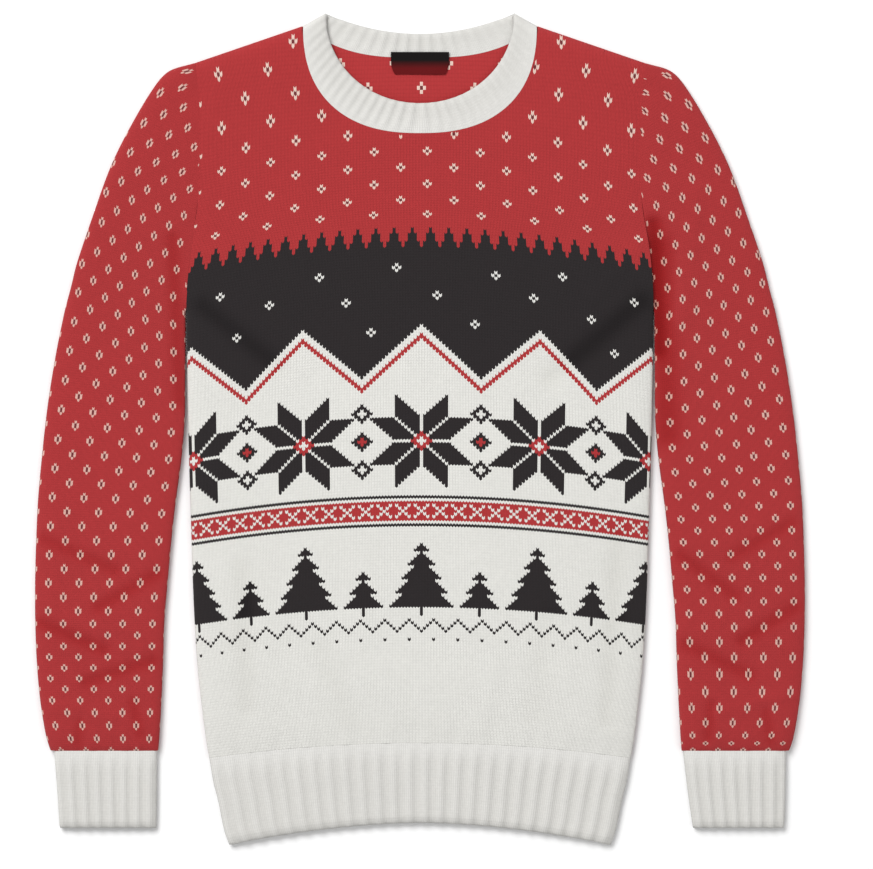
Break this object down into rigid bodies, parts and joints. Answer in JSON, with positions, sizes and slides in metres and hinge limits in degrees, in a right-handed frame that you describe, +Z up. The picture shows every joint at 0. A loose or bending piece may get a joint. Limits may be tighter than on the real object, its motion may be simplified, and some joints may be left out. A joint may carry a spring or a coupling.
{
  "type": "christmas sweater",
  "caption": "Knitted long-sleeved crew-neck sweater laid flat, with ribbed neckband, cuffs and hem and a patterned front.",
  "frame": {"origin": "on the surface it lies on, under the middle of the garment's overall rectangle", "axes": "+Z up from the surface through the front, +Y from the hem to the neck, +X to the viewer's right"},
  "size_m": [0.6608, 0.7138, 0.011],
  "materials": {
    "front_knit": "off-white, red and charcoal wool colourwork, matt",
    "red_knit": "red wool knit with small off-white diamonds, matt",
    "white_rib": "off-white ribbed wool, matt",
    "label_cloth": "plain dark woven label, slight sheen"
  },
  "bodies": {
    "root": {"front": "front_knit", "back": "red_knit", "left_sleeve": "red_knit", "right_sleeve": "red_knit", "hem_rib_front": "white_rib", "hem_rib_back": "white_rib", "left_cuff": "white_rib", "right_cuff": "white_rib", "neckband": "white_rib", "neck_label": "label_cloth"}
  },
  "joints": []
}
